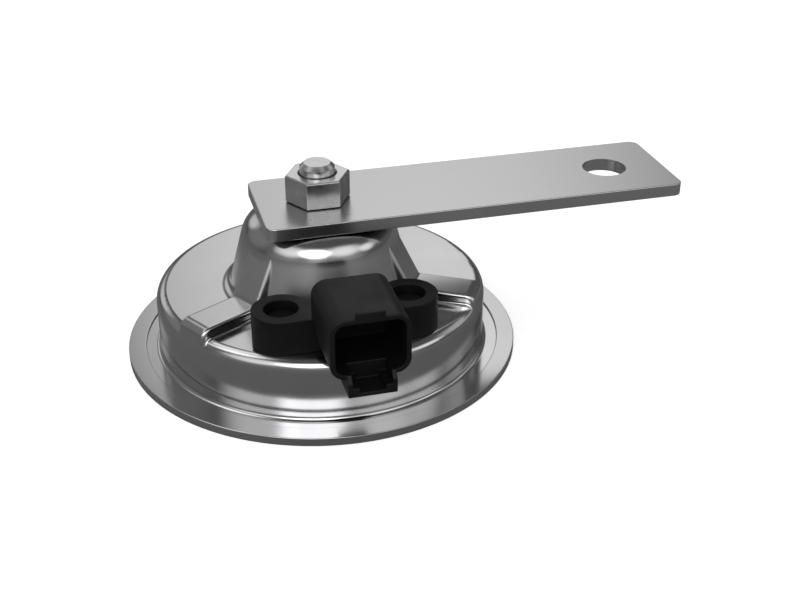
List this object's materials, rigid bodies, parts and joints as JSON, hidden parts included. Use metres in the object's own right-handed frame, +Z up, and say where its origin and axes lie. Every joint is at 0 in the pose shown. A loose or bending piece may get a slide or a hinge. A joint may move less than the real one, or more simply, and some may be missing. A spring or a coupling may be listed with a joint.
{
  "type": "car horn",
  "caption": "Electric disc horn: a pressed steel drum and tower with a rolled rim, a moulded two-pin plug socket and a flat fixing strap under a hexagon nut.",
  "frame": {"origin": "the middle of the rim's underside, on the drum's axis", "axes": "+Z up the drum's axis towards the nut, +X along the fixing strap towards its free end, -Y out of the plug socket"},
  "size_m": [0.1307, 0.0972, 0.0455],
  "materials": {
    "pressed_steel": "bright plated pressed steel, smooth satin to polished",
    "rim_steel": "bright plated rolled steel, satin",
    "strap_steel": "plated flat bar, satin",
    "nut_steel": "plated nut, satin",
    "rivet_black": "black-finished steel rivet",
    "stud_steel": "plated free-cutting steel, turned",
    "spring_steel": "black lacquered spring steel",
    "tone_steel": "black lacquered pressed steel",
    "magnet_iron": "soft iron, plain turned or pressed",
    "copper_wire": "enamelled copper winding",
    "spool_nylon": "natural moulded nylon",
    "board": "pressed insulating board",
    "contact_alloy": "contact alloy buttons",
    "spring_bronze": "rolled bronze strip",
    "pin_brass": "tinned brass",
    "gasket_board": "pressed fibre gasket sheet",
    "seal_rubber": "soft black rubber",
    "wire_cover": "wire with sleeve",
    "resistor_body": "cement-coated resistor",
    "connector_plastic": "black glass-filled nylon, fine satin moulding"
  },
  "bodies": {
    "root": {"housing": "pressed_steel", "crimp_ring": "rim_steel", "gasket": "gasket_board", "diaphragm": "spring_steel", "tone_disc": "tone_steel", "tone_disc_spacer": "magnet_iron", "tone_disc_nut": "nut_steel", "armature": "magnet_iron", "armature_collar": "board", "core_stud": "stud_steel", "yoke_plate": "magnet_iron", "coil_bobbin": "spool_nylon", "coil_winding": "copper_wire", "breaker_bracket": "magnet_iron", "upper_insulator": "board", "middle_insulator": "board", "moving_contact_spring": "spring_bronze", "fixed_contact_arm": "pin_brass", "moving_contact": "contact_alloy", "fixed_contact": "contact_alloy", "breaker_rivets": "nut_steel", "bracket_rivets": "nut_steel", "adjusting_screw": "nut_steel", "adjuster_nut": "nut_steel", "suppression_resistor": "resistor_body", "feed_lead": "wire_cover", "coil_lead": "wire_cover", "breaker_lead": "wire_cover", "terminal_pin_left": "pin_brass", "terminal_pin_right": "pin_brass", "terminal_seal": "seal_rubber", "connector_housing": "connector_plastic", "connector_rivets": "rivet_black", "bracket_strap": "strap_steel", "bracket_nut": "nut_steel"}
  },
  "joints": []
}
